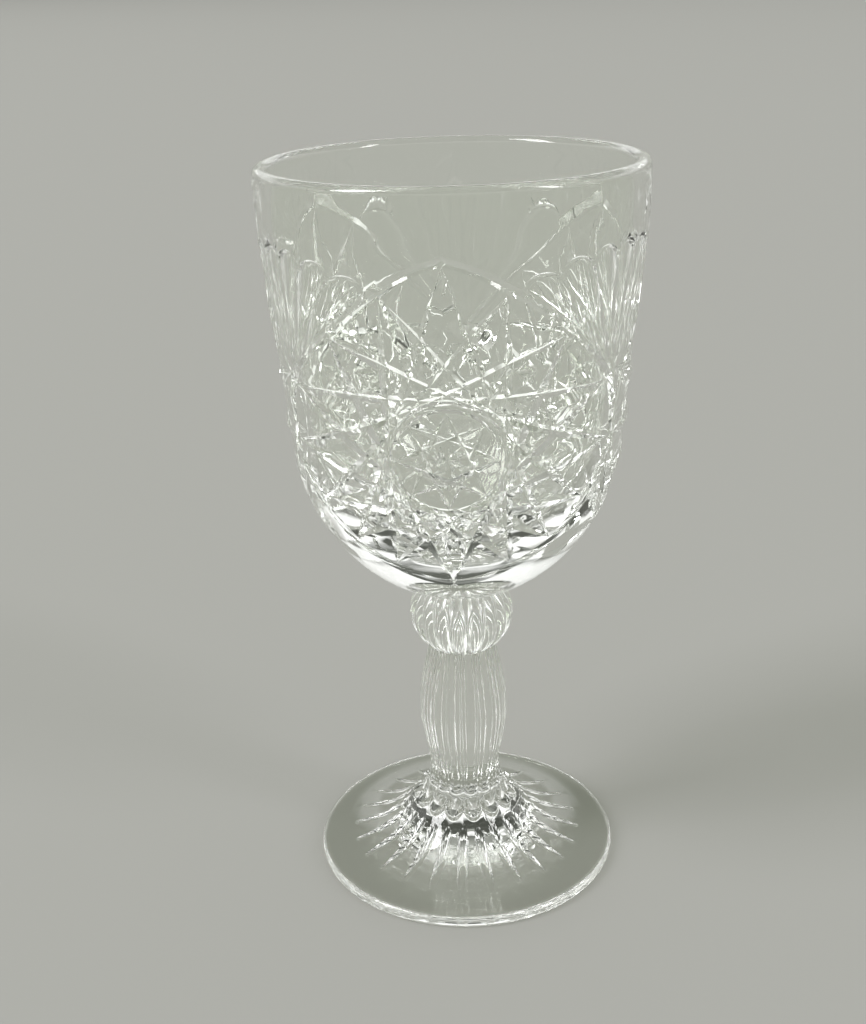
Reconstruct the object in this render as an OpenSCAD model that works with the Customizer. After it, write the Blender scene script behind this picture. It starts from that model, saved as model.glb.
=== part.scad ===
// Water goblet in clear pressed glass: bowl, ribbed knop, reeded stem, collar and foot.
// Millimetres, +Z up, origin at the centre of the foot's resting face.
// Azimuth 0 faces -Y, where one of the three medallions of the bowl is.

/* [Bowl] */
// Outside diameter of the bowl at its lip
rim_d = 84; // [78:0.5:92]
// Outside diameter of the egg-shaped cup at its widest ring
cup_d = 77.2; // [70:0.4:82]
// Diameter of the flat disc under the bowl that is fused to the knop
bowl_base_d = 22.6; // [19:0.2:30]
// Height of the bowl from that disc to the lip
bowl_h = 97.4; // [94:0.2:120]
// Height of the cup's widest ring above that disc
cup_mid_h = 45.4; // [38:0.2:50]
// Height of the plain upright band under the lip
lip_band_h = 10; // [6:0.5:14]
// Wall thickness at the lip
rim_wall = 3.4; // [2.4:0.1:4.2]
// Wall thickness at the cup's widest ring
cup_wall = 4.2; // [3.6:0.1:5.5]
// Thickness of the glass under the cup
cup_floor = 7; // [5:0.5:10]

/* [Medallions] */
// Number of medallions round the bowl, with a fan between each two
medallions = 3; // [2:1:3]
// Height of a medallion's centre above the bowl's base
medallion_h = 42.8; // [41:0.1:44]
// Reach of the star upwards from that centre
star_up = 39.9; // [37:0.1:40.5]
// Reach of the star downwards
star_down = 31.1; // [28:0.1:32]
// Reach of the star to either side, seen from the front
star_side = 32.8; // [29:0.1:33]
// Half-width of the star's mitre cuts
mitre_w = 0.9; // [0.5:0.1:1.4]
// Depth of the star's mitre cuts under the shoulders of its stones
mitre_depth = 0.8; // [0.4:0.1:1]
// Rise of a stone's peak above its shoulders
stone_rise = 0.6; // [0.2:0.1:0.8]
// Depth of a medallion's face under the plain surface
face_sink = 0.4; // [0.3:0.1:0.8]
// Width of the sloping border round a medallion
border_w = 2; // [1:0.1:2.5]
// Radius of the round button in the middle of a medallion
button_r = 10.9; // [9.5:0.1:11]
// Half-width of the cuts of the button's star
button_cut_w = 0.6; // [0.4:0.1:1]
// Depth of the cuts of the button's star under the shoulders of its stones
button_cut_depth = 0.5; // [0.3:0.1:0.7]
// Rise of the peaks of the button's stones above their shoulders
button_rise = 0.5; // [0.2:0.1:0.6]
// Radius of the deepest line of the channel round the button
channel_r = 11.6; // [11.3:0.1:11.9]
// Depth of that channel
channel_depth = 1.2; // [0.6:0.1:1.4]
// Radius of the channel's outer lip
channel_lip_r = 12.3; // [12.1:0.1:12.4]

/* [Fans] */
// Height of a fan's origin above the bowl's base
fan_h = 51.8; // [50:0.2:54]
// Reach of the middle flute from that origin
fan_middle_r = 32.5; // [28:0.5:34]
// Reach of the outermost flutes
fan_side_r = 38.5; // [32:0.5:39]
// Distance from the origin where the flutes start
fan_in_r = 9; // [7:0.5:12]
// Number of flutes in a fan
fan_flutes = 7; // [5:2:7]
// Angle of one flute
fan_step = 13.2; // [10:0.1:13.4]
// Depth of a flute at its outer end
fan_depth = 0.9; // [0.5:0.1:1.2]
// Depth of the ridges between flutes there
fan_ridge = 0.2; // [0.1:0.05:0.4]
// Length over which a flute runs out at its ends
fan_run_out = 2.4; // [1.5:0.1:3]

/* [Knop] */
// Height of the knop
knop_h = 16.4; // [15:0.2:19]
// Diameter of the knop over its ribs
knop_d = 24.6; // [22:0.2:32]
// Height of the knop's widest ring above its lower face
knop_mid_h = 8.6; // [7.4:0.2:9]
// Number of ribs round the knop
knop_ribs = 21; // [12:1:24]
// Depth of the grooves between the ribs
knop_groove = 1.1; // [0.4:0.1:1.4]

/* [Stem] */
// Height of the stem
stem_h = 36.2; // [30:0.2:60]
// Diameter of the stem at its top
stem_top_d = 15.6; // [13:0.2:18]
// Diameter of the stem over its belly
stem_belly_d = 21.4; // [18:0.2:26]
// Height of the belly above the stem's lower face
stem_belly_h = 19.8; // [14:0.2:24]
// Diameter of the waist under the belly
stem_waist_d = 17; // [14:0.2:17.4]
// Height of the waist above the stem's lower face
stem_waist_h = 2.4; // [1.4:0.2:5]
// Diameter of the stem at its lower face
stem_base_d = 17.6; // [17.4:0.2:19]
// Number of reeds round the stem and the collar
reeds = 15; // [9:1:20]
// Depth of the grooves between the reeds
reed_groove = 0.8; // [0.3:0.1:1]

/* [Collar] */
// Height of the collar
collar_h = 5; // [3:0.2:8]
// Diameter of the collar where it meets the foot
collar_d = 21.8; // [19.6:0.2:24]

/* [Foot] */
// Diameter of the foot
foot_d = 73.4; // [64:0.2:86]
// Height of the foot at its hub
foot_h = 15; // [11:0.2:20]
// Diameter of the hub's flat top, under the collar
hub_d = 22.4; // [22:0.2:26]
// Thickness of the foot at its edge
edge_t = 3; // [2.4:0.1:4]
// Rounding of the foot's edge
edge_round = 1.2; // [0.5:0.1:1.2]
// Width of the flat ring that the goblet rests on
rest_ring_w = 5; // [3:0.5:8]
// Depth of the hollow under the foot
foot_hollow = 1.8; // [0.5:0.1:3]
// Number of flutes cut in the foot's top
foot_flutes = 24; // [12:1:30]
// Radius where the flutes start, beside the hub
flute_in_r = 13.4; // [12.6:0.2:16]
// Radius where the flutes end
flute_out_r = 28.6; // [24:0.2:31]
// Depth of a flute at its middle
flute_depth = 0.8; // [0.3:0.1:1.2]
// Radius of the flute's round bottom
flute_r = 1.5; // [1.2:0.1:2]

/* [Hidden] */
glass = [0.86, 0.92, 0.88];
// Facets of a full turn
$fn = 96;
// Steps of a curved outline, of a rounded edge and across one rib
rows = 10;
round_steps = 6;
rib_steps = 4;
flute_steps = 6;
// How far a pattern's edge runs out of the glass, and how far off its tip is in shares of the lip's radius
overrun = 0.5;
tip_share = 4;
// Points of the star from its top round to its bottom, in shares of its reach to the side and up or down
half_star_shares = [
    [0, 1], [0.384, 0.852], [0.73, 0.612], [0.982, 0.316], [1, -0.016],
    [0.838, -0.4], [0.628, -0.682], [0.372, -0.855], [0, -1]
];
// Each line of a star joins two points that are this many apart
star_skip = 6;
button_points = 8;
button_skip = 3;
// Sides of stones from this count outwards are halved, so that they follow the bowl
halved_from = 5;
// Size of the crown in the middle of the button
ray_share = 0.55;
// Angle over which a fan's sides run out
fan_side_angle = 1.5;
// Fullness of the curve of the stem above and below its belly, the collar and the foot
stem_top_power = 1;
stem_low_power = 1.6;
waist_power = 2;
collar_power = 1.3;
foot_power = 2.8;

collar_z = foot_h;
stem_z = collar_z + collar_h;
knop_z = stem_z + stem_h;
bowl_z = knop_z + knop_h;
goblet_h = bowl_z + bowl_h;
foot_r = foot_d / 2;
hub_r = hub_d / 2;

function upto(first, last, count) = [for (i = [0 : count]) first + (last - first) * i / count];
function mirrored(list) = [for (i = [len(list) - 1 : -1 : 0]) list[i]];
function arc(x, y, r, first, last) = [
    for (a = upto(first, last, round_steps)) [x + r * cos(a), y + r * sin(a)]
];

// A closed body through rings of points, which all have the same count and run from below upwards
module loft(rings) {
    n = len(rings[0]);
    last = (len(rings) - 1) * n;
    walls = [
        for (i = [0 : len(rings) - 2], k = [0 : n - 1])
            let (a = i * n + k, b = i * n + (k + 1) % n)
                each [[a, a + n, b + n], [a, b + n, b]]
    ];
    low_cap = [for (k = [0 : n - 1]) k];
    top_cap = [for (k = [n - 1 : -1 : 0]) last + k];
    polyhedron([for (ring = rings) each ring], concat([low_cap, top_cap], walls));
}

// One ring of convex ribs of outer radius r at height z, with a groove at azimuth 0
function ribbed_ring(r, z, ribs, groove) = [
    for (k = [0 : ribs * rib_steps - 1])
        let (
            a = 360 * k / (ribs * rib_steps) - 90,
            across = 2 * (k % rib_steps) / rib_steps - 1,
            radius = r - groove * across * across
        )
            [radius * cos(a), radius * sin(a), z]
];

// Half-height of the ellipse of half-width r that is `narrow` wide at a distance h from its middle
function ellipse_half(r, narrow, h) = h / sqrt(1 - pow(narrow / r, 2));

// Outline of the cup: an ellipse from low_z up, then the tangent to [top_r, top_z], as [r, z] points
function cup_outline(r, half_h, mid_z, low_z, top_r, top_z) =
    let (
        px = top_r / r,
        pz = (top_z - mid_z) / half_h,
        touch = atan2(pz, px) - acos(1 / norm([px, pz])),
        low = asin(max(-1, (low_z - mid_z) / half_h))
    )
        concat(
            [for (a = upto(low, touch, rows * 2)) [r * cos(a), mid_z + half_h * sin(a)]],
            [[top_r, top_z]]
        );

rim_r = rim_d / 2;
cup_r = cup_d / 2;
mid_z = bowl_z + cup_mid_h;
band_z = goblet_h - lip_band_h;
outside = cup_outline(
    cup_r, ellipse_half(cup_r, bowl_base_d / 2, cup_mid_h), mid_z, bowl_z, rim_r, band_z);

// The bowl's outline up to the lip, and the distance along it at each of its points
path = concat(outside, [[rim_r, goblet_h]]);
travel = [
    for (i = 0, s = 0; i < len(path); s = s + norm(path[min(i + 1, len(path) - 1)] - path[i]), i = i + 1) s
];
radius_by_travel = [for (i = [0 : len(path) - 1]) [travel[i], path[i][0]]];
height_by_travel = [for (i = [0 : len(path) - 1]) [travel[i], path[i][1]]];
travel_by_height = [for (i = [0 : len(path) - 1]) [path[i][1], travel[i]]];
radius_by_height = [for (i = [0 : len(path) - 1]) [path[i][1], path[i][0]]];

// Point at an azimuth and a distance up the outline, sunk by `depth` into the bowl
function on_bowl(azimuth, up, depth) =
    let (
        r = lookup(up, radius_by_travel),
        z = lookup(up, height_by_travel),
        inward = [-r, max(0, mid_z - z)] / norm([r, max(0, mid_z - z)]),
        sunk = [r, z] + depth * inward
    )
        [sunk[0] * sin(azimuth), -sunk[0] * cos(azimuth), sunk[1]];

// The negative of a relief: its triangles, closed by a cone from their outer loop to a far tip
module negative(triangles, loop) {
    n = len(loop);
    tip = [0, -rim_r * tip_share, mid_z];
    sides = [for (i = [0 : n - 1]) [loop[i], loop[(i + 1) % n], tip]];
    all_triangles = concat(triangles, sides);
    polyhedron(
        [for (t = all_triangles) each t],
        [for (i = [0 : len(all_triangles) - 1]) [3 * i, 3 * i + 1, 3 * i + 2]]
    );
}

// Crossing of the line through a and b with the line through c and d
function line_crossing(a, b, c, d) = a + (b - a) * cross(c - a, d - c) / cross(b - a, d - c);

// Point nearest to the middle on the line through a and b
function line_foot(a, b) = a - (b - a) * (a * (b - a)) / ((b - a) * (b - a));

function line_distance(p, a, b) = abs(cross(p - a, b - a)) / norm(b - a);

// Crossing of two lines of a star that are j apart: j = skip gives its points, j = 0 the middle of a line
function star_crossing(points, skip, j, m) =
    let (
        n = len(points),
        k = (m + n) % n,
        from = points[(k - skip + n) % n],
        to = points[k]
    )
        j == skip ? to
            : j == 0 ? line_foot(from, to)
            : line_crossing(from, to, points[(k - skip + j + n) % n], points[(k + j) % n]);

function at_depth(p, depth) = [p[0], p[1], depth];
function between(a, b, share) = a + (b - a) * share;

// A loop with the middles of the sides that `halve` marks added
function halved(loop, halve) = [
    for (i = [0 : len(loop) - 1])
        each concat([loop[i]], halve[i] ? [between(loop[i], loop[(i + 1) % len(loop)], 1 / 2)] : [])
];

// Triangles of one stone: bevels from its low rim up to its crown, and the crown's flat round its heart
function stone(rim, crown, heart) = [
    for (i = [0 : len(rim) - 1])
        let (k = (i + 1) % len(rim), a = rim[i], b = rim[k], c = crown[k], d = crown[i])
            each concat(
                b == c ? [] : [[a, b, c]],
                a == d || c == d ? [] : [[a, c, d]],
                c == d ? [] : [[d, c, heart]]
            )
];

// Four-sided stone between the lines of a star, with a peak above its shoulders where there is room
function kite(points, skip, j, m, cut_w, face, shoulder, low) =
    let (
        is_tip = j + 1 == skip,
        top = star_crossing(points, skip, j + 1, m),
        left = star_crossing(points, skip, j, m),
        bottom = star_crossing(points, skip, j - 1, m + 1),
        right = star_crossing(points, skip, j, m + 1),
        high_sides = norm(top - left) + norm(top - right),
        low_sides = norm(bottom - left) + norm(bottom - right),
        heart = between(bottom, top, low_sides / (low_sides + high_sides)),
        room = min(
            line_distance(heart, top, left), line_distance(heart, left, bottom),
            line_distance(heart, bottom, right), line_distance(heart, right, top)
        ),
        keep = max(0, 1 - cut_w / room),
        crest = low + (shoulder - low) * min(1, room / cut_w),
        inset = function(p) at_depth(between(heart, p, keep), crest),
        rim = [at_depth(top, is_tip ? face : low), for (p = [left, bottom, right]) at_depth(p, low)],
        crown = [is_tip ? rim[0] : inset(top), inset(left), inset(bottom), inset(right)],
        halve = [j + 1 >= halved_from, j >= halved_from, j >= halved_from, j + 1 >= halved_from]
    )
        stone(halved(rim, halve), halved(crown, halve), at_depth(heart, crest + (face - shoulder) * keep));

// Outline of a star from its point m to the next, bent outwards like a circle's arc
function outline_points(points, m) =
    let (
        n = len(points),
        a = points[m % n],
        b = points[(m + 1) % n],
        outward = [a[1] - b[1], b[0] - a[0]] * 2 * tan(90 / n)
    )
        [for (share = [0 : 1 / 4 : 3 / 4]) between(a, b, share) + outward * share * (1 - share)];

// Stone outside a star between its points m and m + 1
function corner_stone(points, skip, m, cut_w, face, shoulder, low) =
    let (
        edge = outline_points(points, m),
        next = star_crossing(points, skip, skip, m + 1),
        notch = star_crossing(points, skip, skip - 1, m + 1),
        room = line_distance(edge[2], notch, edge[0]),
        inner = between(notch, edge[2], min(1 / 2, cut_w / room)),
        top = [at_depth(next, face), for (i = [3 : -1 : 0]) at_depth(edge[i], face)],
        halve = [false, false, false, false, skip >= halved_from, skip >= halved_from]
    )
        stone(
            halved(concat(top, [at_depth(notch, low)]), halve),
            halved(concat(top, [at_depth(inner, shoulder)]), halve),
            at_depth(between(inner, edge[2], 1 / 2), (face + shoulder) / 2)
        );

// All stones of a star with its corners
function star(points, skip, cut_w, face, shoulder, low) = [
    for (m = [0 : len(points) - 1])
        each concat(
            [for (j = [1 : skip - 1]) each kite(points, skip, j, m, cut_w, face, shoulder, low)],
            corner_stone(points, skip, m, cut_w, face, shoulder, low)
        )
];

// Inner loop of a star's stones, clockwise
function star_foot(points, skip, low) = [
    for (m = [0 : len(points) - 1])
        each [
            at_depth(star_crossing(points, skip, 1, m), low),
            at_depth(star_crossing(points, skip, 0, m + 1), low)
        ]
];

// Outer loop of a star's corners, clockwise from its top
function star_rim(points, face) = [
    for (m = [0 : len(points) - 1], p = outline_points(points, m)) at_depth(p, face)
];

// Triangles between two loops with the same count of points
function strip(inner, outer) = [
    for (k = [0 : len(inner) - 1])
        let (n = (k + 1) % len(inner))
            each [[inner[k], outer[n], outer[k]], [inner[k], inner[n], outer[n]]]
];

function circle_points(r, count) = [
    for (k = [0 : count - 1]) r * [sin(360 * k / count), cos(360 * k / count)]
];
function begun_at(first, list) = [for (i = [0 : len(list) - 1]) list[(i + first) % len(list)]];

medallion_z = bowl_z + medallion_h;
half_star = [for (s = half_star_shares) [s[0] * star_side, s[1] * (s[1] < 0 ? star_down : star_up)]];
left_star = [for (i = [len(half_star) - 2 : -1 : 1]) [-half_star[i][0], half_star[i][1]]];
star_points = concat(half_star, left_star);

// Azimuth and distance up the outline of a point of the plan, which is drawn as seen from the front
function unrolled(p) =
    let (z = medallion_z + p[1])
        [asin(p[0] / lookup(z, radius_by_height)), lookup(z, travel_by_height)];

function on_medallion(p) = let (u = unrolled(p)) on_bowl(u[0], u[1], p[2]);

// Point of a medallion's edge, pushed `out` along the surface away from the medallion's centre
function beyond(p, out, depth) =
    let (
        u = unrolled(p),
        centre = unrolled([0, 0]),
        mm_per_degree = PI * cup_r / 180,
        away = [u[0] * mm_per_degree, u[1] - centre[1]],
        pushed = away * (1 + out / norm(away))
    )
        on_bowl(pushed[0] / mm_per_degree, centre[1] + pushed[1], depth);

// Negative of a medallion: star button, channel, star web and sloping border
module medallion() {
    shoulder = face_sink + stone_rise;
    low = shoulder + mitre_depth;
    button_shoulder = face_sink + button_rise;
    button_low = button_shoulder + button_cut_depth;
    button_star = circle_points(button_r, button_points);
    centre_loop = mirrored(star_foot(button_star, button_skip, button_low));
    rays = [
        for (i = [0 : len(centre_loop) - 1])
            at_depth(centre_loop[i] * ray_share, i % 2 == 0 ? face_sink : button_low)
    ];
    button_rim = star_rim(button_star, face_sink);
    count = len(button_rim);
    channel = [for (p = circle_points(channel_r, count)) at_depth(p, face_sink + channel_depth)];
    lip = [for (p = circle_points(channel_lip_r, count)) at_depth(p, face_sink)];
    web_foot = begun_at(star_skip - 1, star_foot(star_points, star_skip, low));
    web_rim = star_rim(star_points, face_sink);
    plan = concat(
        stone(centre_loop, rays, [0, 0, button_low]),
        star(button_star, button_skip, button_cut_w, face_sink, button_shoulder, button_low),
        strip(button_rim, channel),
        strip(channel, lip),
        strip(lip, web_foot),
        star(star_points, star_skip, mitre_w, face_sink, shoulder, low)
    );
    edge_out = border_w * (face_sink + overrun) / face_sink;
    inner_edge = [for (p = web_rim) on_medallion(p)];
    outer_edge = [for (p = web_rim) beyond(p, edge_out, -overrun)];
    negative(
        concat([for (t = plan) [for (p = t) on_medallion(p)]], strip(inner_edge, outer_edge)),
        outer_edge
    );
}

// Point of a fan at a distance and angle from its origin, with its depth
function on_fan(p) =
    on_bowl(
        p[0] * sin(p[1]) * 180 / (PI * cup_r),
        lookup(bowl_z + fan_h, travel_by_height) + p[0] * cos(p[1]),
        p[2]
    );

// Points of a fan along the angle a, which lies at `across` of its flute, from -1 to 1
function fan_column(a, across) =
    let (
        half = fan_flutes * fan_step / 2,
        reach = fan_middle_r + (fan_side_r - fan_middle_r) * pow(a / half, 2),
        end_r = reach * (1 - tan(fan_step / 2) * (1 - sqrt(1 - across * across))),
        deep = fan_ridge + (fan_depth - fan_ridge) * (1 - across * across),
        stations = upto(fan_in_r + fan_run_out, end_r - fan_run_out, 3)
    )
        [
            [fan_in_r, a, -overrun],
            for (r = stations) [r, a, deep * r / reach],
            [end_r, a, -overrun]
        ];

// Negative of a fan of concave flutes with rounded ends
module fan() {
    count = fan_flutes * flute_steps;
    half = fan_flutes * fan_step / 2;
    flute_columns = [
        for (k = [0 : count])
            fan_column(k * fan_step / flute_steps - half, 2 * (k % flute_steps) / flute_steps - 1)
    ];
    side = [for (p = flute_columns[0]) [p[0], -half - fan_side_angle, -overrun]];
    columns = concat([side], flute_columns, [[for (p = side) [p[0], -p[1], p[2]]]]);
    last = len(columns) - 1;
    top = len(side) - 1;
    plan = [
        for (k = [0 : last - 1], i = [0 : top - 1])
            let (a = columns[k][i], b = columns[k + 1][i], c = columns[k + 1][i + 1], d = columns[k][i + 1])
                each [[a, b, c], [a, c, d]]
    ];
    loop = concat(
        [for (k = [0 : last]) columns[k][top]],
        [for (i = [top - 1 : -1 : 1]) columns[last][i]],
        [for (k = [last : -1 : 0]) columns[k][0]],
        [for (i = [1 : top - 1]) columns[0][i]]
    );
    negative([for (t = plan) [for (p = t) on_fan(p)]], [for (p = loop) on_fan(p)]);
}

module bowl_blank() {
    lip_r = rim_wall / 2;
    cavity_low = bowl_z + cup_floor;
    inside = cup_outline(
        cup_r - cup_wall, mid_z - cavity_low, mid_z, cavity_low, rim_r - rim_wall, band_z);
    rotate_extrude()
        polygon(concat(
            [[0, bowl_z]], outside, arc(rim_r - lip_r, goblet_h - lip_r, lip_r, 0, 180),
            mirrored(inside)
        ));
}

module bowl() {
    color(glass)
        difference() {
            bowl_blank();
            for (i = [0 : medallions - 1]) {
                rotate([0, 0, i * 360 / medallions]) medallion();
                rotate([0, 0, (i + 1 / 2) * 360 / medallions]) fan();
            }
        }
}

module knop() {
    r = knop_d / 2;
    half_h = ellipse_half(r, stem_top_d / 2, knop_mid_h);
    function knop_r(h) = r * sqrt(1 - pow((h - knop_mid_h) / half_h, 2));
    color(glass)
        loft([for (h = upto(0, knop_h, rows)) ribbed_ring(knop_r(h), knop_z + h, knop_ribs, knop_groove)]);
}

module stem() {
    belly_r = stem_belly_d / 2;
    top_r = stem_top_d / 2;
    waist_r = stem_waist_d / 2;
    base_r = stem_base_d / 2;
    function above_belly(h) =
        top_r + (belly_r - top_r)
            * pow(cos(90 * (h - stem_belly_h) / (stem_h - stem_belly_h)), stem_top_power);
    function under_belly(h) =
        waist_r + (belly_r - waist_r)
            * pow(cos(90 * (stem_belly_h - h) / (stem_belly_h - stem_waist_h)), stem_low_power);
    function under_waist(h) =
        waist_r + (base_r - waist_r) * pow((stem_waist_h - h) / stem_waist_h, waist_power);
    function stem_r(h) =
        h > stem_belly_h ? above_belly(h) : h > stem_waist_h ? under_belly(h) : under_waist(h);
    heights = concat(
        upto(0, stem_waist_h, 2),
        [for (h = upto(stem_waist_h, stem_belly_h, rows)) if (h > stem_waist_h) h],
        [for (h = upto(stem_belly_h, stem_h, rows)) if (h > stem_belly_h) h]
    );
    color(glass)
        loft([for (h = heights) ribbed_ring(stem_r(h), stem_z + h, reeds, reed_groove)]);
}

module collar() {
    top_r = stem_base_d / 2;
    low_r = collar_d / 2;
    function collar_r(h) = top_r + (low_r - top_r) * pow(1 - h / collar_h, collar_power);
    color(glass)
        loft([
            for (h = upto(0, collar_h, rows / 2)) ribbed_ring(collar_r(h), collar_z + h, reeds, reed_groove)
        ]);
}

// Height of the foot's top at radius r
function foot_top(r) = edge_t + (foot_h - edge_t) * pow((foot_r - r) / (foot_r - hub_r), foot_power);

// Centre of the circle through three points of a plane
function circle_centre(a, b, c) =
    let (
        ab = b - a,
        ac = c - a,
        d = 2 * (ab[0] * ac[1] - ab[1] * ac[0]),
        u = ab * ab,
        v = ac * ac
    )
        a + [ac[1] * u - ab[1] * v, ab[0] * v - ac[0] * u] / d;

module foot_blank() {
    ring_in = foot_r - edge_round - rest_ring_w;
    shoulder_r = foot_r - edge_round;
    rotate_extrude()
        polygon(concat(
            [for (r = upto(0, ring_in, rows)) [r, foot_hollow * (1 - pow(r / ring_in, 2))]],
            arc(shoulder_r, edge_round, edge_round, -90, 0),
            arc(shoulder_r, edge_t - edge_round, edge_round, 0, 90),
            [for (r = upto(shoulder_r, hub_r, rows * 2)) if (r < shoulder_r) [r, foot_top(r)]],
            [[0, foot_h]]
        ));
}

// The groove that a thin round-edged wheel cuts along a radius of the foot
module foot_flute() {
    from = [flute_in_r, foot_top(flute_in_r)];
    to = [flute_out_r, foot_top(flute_out_r)];
    middle_r = (flute_in_r + flute_out_r) / 2;
    middle = [middle_r, foot_top(middle_r) - flute_depth];
    centre = circle_centre(from, middle, to);
    wheel_r = norm(from - centre);
    first = atan2(from[1] - centre[1], from[0] - centre[0]);
    last = atan2(to[1] - centre[1], to[0] - centre[0]);
    rotate([90, 0, 0])
        translate([centre[0], centre[1], 0])
            rotate([0, 0, first])
                rotate_extrude(angle = last - first)
                    translate([wheel_r - flute_r, 0]) circle(flute_r, $fn = 24);
}

module foot() {
    color(glass)
        difference() {
            foot_blank();
            for (i = [0 : foot_flutes - 1])
                rotate([0, 0, i * 360 / foot_flutes - 90]) foot_flute();
        }
}

bowl();
knop();
stem();
collar();
foot();
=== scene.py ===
import math

import bmesh
import bpy
import numpy as np
from mathutils import Matrix
from mathutils.geometry import delaunay_2d_cdt


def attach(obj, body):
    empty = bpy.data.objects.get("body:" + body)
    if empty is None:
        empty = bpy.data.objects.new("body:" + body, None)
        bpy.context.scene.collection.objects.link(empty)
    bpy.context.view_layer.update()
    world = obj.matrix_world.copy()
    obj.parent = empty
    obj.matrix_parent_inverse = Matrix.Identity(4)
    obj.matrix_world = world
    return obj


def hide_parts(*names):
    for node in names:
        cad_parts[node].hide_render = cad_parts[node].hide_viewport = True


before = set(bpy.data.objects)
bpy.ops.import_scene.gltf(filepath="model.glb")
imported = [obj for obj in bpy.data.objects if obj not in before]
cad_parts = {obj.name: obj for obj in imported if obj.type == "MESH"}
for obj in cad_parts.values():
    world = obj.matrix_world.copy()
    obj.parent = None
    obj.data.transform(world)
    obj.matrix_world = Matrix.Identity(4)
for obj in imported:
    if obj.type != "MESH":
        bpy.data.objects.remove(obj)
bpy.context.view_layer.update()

mm = 0.001
weld = 2e-6      # m, points closer than this are one
level = 0.999    # a face is level if this much of its normal points up or down
touching = 0.1   # mm, a face this near to a seam lies on it
print("frame loaded with", sorted(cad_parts))

# the camera stands where the photograph was taken from, 0.29 m off and a little above the lip
cameraPlace = {
    "distance": 0.29022,
    "height": 0.20636,
    "side": 3.2,      # degrees round the goblet from the middle of the front medallion
    "turn": 1.20,     # degrees that it looks left of the stem
    "down": 21.887,
    "tilt": -1.767,
    "lens": 47.29,    # mm, as the sensor
    "sensor": 36.0,
    "nearest": 10.0,  # mm from the camera that is still seen
}


def addCamera(place):
    data = bpy.data.cameras.new("photoCamera")
    data.lens = place["lens"]
    data.sensor_width = place["sensor"]
    data.clip_start = place["nearest"] * mm
    camera = bpy.data.objects.new("photoCamera", data)
    bpy.context.collection.objects.link(camera)
    a = math.radians(place["side"])
    spot = (place["distance"] * math.sin(a), -place["distance"] * math.cos(a), place["height"])
    camera.matrix_world = (
        Matrix.Translation(spot)
        @ Matrix.Rotation(a + math.radians(place["turn"]), 4, "Z")
        @ Matrix.Rotation(math.radians(90 - place["down"]), 4, "X")
        @ Matrix.Rotation(math.radians(place["tilt"]), 4, "Z")
    )
    bpy.context.scene.camera = camera


addCamera(cameraPlace)
print("camera placed")


def linearColour(hexColour):
    parts = [int(hexColour[i:i + 2], 16) / 255 for i in (1, 3, 5)]
    return [c / 12.92 if c <= 0.04045 else ((c + 0.055) / 1.055) ** 2.4 for c in parts] + [1]


def addNode(tree, kind, inputs=None, **settings):
    node = tree.nodes.new(kind)
    for name, value in settings.items():
        setattr(node, name, value)
    for name, value in (inputs or {}).items():
        if isinstance(value, bpy.types.NodeSocket):
            tree.links.new(value, node.inputs[name])
        else:
            node.inputs[name].default_value = value
    return node


# soda-lime glass, pressed hot in an iron mould and fire polished: clear with a hint of green,
# faint waves where the mould chilled it, and a polish that is never quite even
glassFinish = {
    "colour": "#FCFEFA",
    "shadow": "#E9EAE7",   # what one surface lets through to the floor
    "ior": 1.52,
    "waveSize": 9.0,       # mm from one chill wave to the next
    "waveDepth": 0.012,    # mm
    "polishSize": 14.0,    # mm, size of the duller patches
    "patches": (0.45, 0.75),   # where in their pattern the polish starts to fade and is dullest
    "polish": (0.0, 0.02),     # roughness at its brightest and dullest
}


def pressedGlass(name, waveSize, waveDepth):
    material = bpy.data.materials.new(name)
    material.use_nodes = True
    tree = material.node_tree
    tree.nodes.clear()
    place = addNode(tree, "ShaderNodeTexCoord")
    waves = addNode(tree, "ShaderNodeTexNoise", {
        "Vector": place.outputs["Object"], "Scale": 1 / (waveSize * mm),
        "Detail": 1.0, "Roughness": 0.4})
    bump = addNode(tree, "ShaderNodeBump", {
        "Height": waves.outputs["Fac"], "Distance": waveDepth * mm, "Strength": 1.0})
    patches = addNode(tree, "ShaderNodeTexNoise", {
        "Vector": place.outputs["Object"], "Scale": 1 / (glassFinish["polishSize"] * mm), "Detail": 2.0})
    polish = addNode(tree, "ShaderNodeMapRange", {
        "Value": patches.outputs["Fac"],
        "From Min": glassFinish["patches"][0], "From Max": glassFinish["patches"][1],
        "To Min": glassFinish["polish"][0], "To Max": glassFinish["polish"][1]})
    glass = addNode(tree, "ShaderNodeBsdfPrincipled", {
        "Base Color": linearColour(glassFinish["colour"]), "Roughness": polish.outputs["Result"],
        "IOR": glassFinish["ior"], "Transmission Weight": 1.0, "Normal": bump.outputs["Normal"]})
    # clear glass throws only a light shadow, so lamps shine through it on to the floor
    ray = addNode(tree, "ShaderNodeLightPath")
    lampRay = addNode(tree, "ShaderNodeMath", {
        0: ray.outputs["Is Shadow Ray"], 1: ray.outputs["Is Diffuse Ray"]}, operation="MAXIMUM")
    through = addNode(tree, "ShaderNodeBsdfTransparent", {"Color": linearColour(glassFinish["shadow"])})
    blend = addNode(tree, "ShaderNodeMixShader", {
        0: lampRay.outputs[0], 1: glass.outputs["BSDF"], 2: through.outputs["BSDF"]})
    addNode(tree, "ShaderNodeOutputMaterial", {"Surface": blend.outputs["Shader"]})
    return material


def fusedSeam():
    # where two pieces were fused hot there is no surface, so light passes straight through
    material = bpy.data.materials.new("fusedGlassSeam")
    material.use_nodes = True
    tree = material.node_tree
    tree.nodes.clear()
    clear = addNode(tree, "ShaderNodeBsdfPrincipled", {
        "Base Color": linearColour(glassFinish["colour"]), "Alpha": 0.0})
    addNode(tree, "ShaderNodeOutputMaterial", {"Surface": clear.outputs["BSDF"]})
    return material


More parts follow.
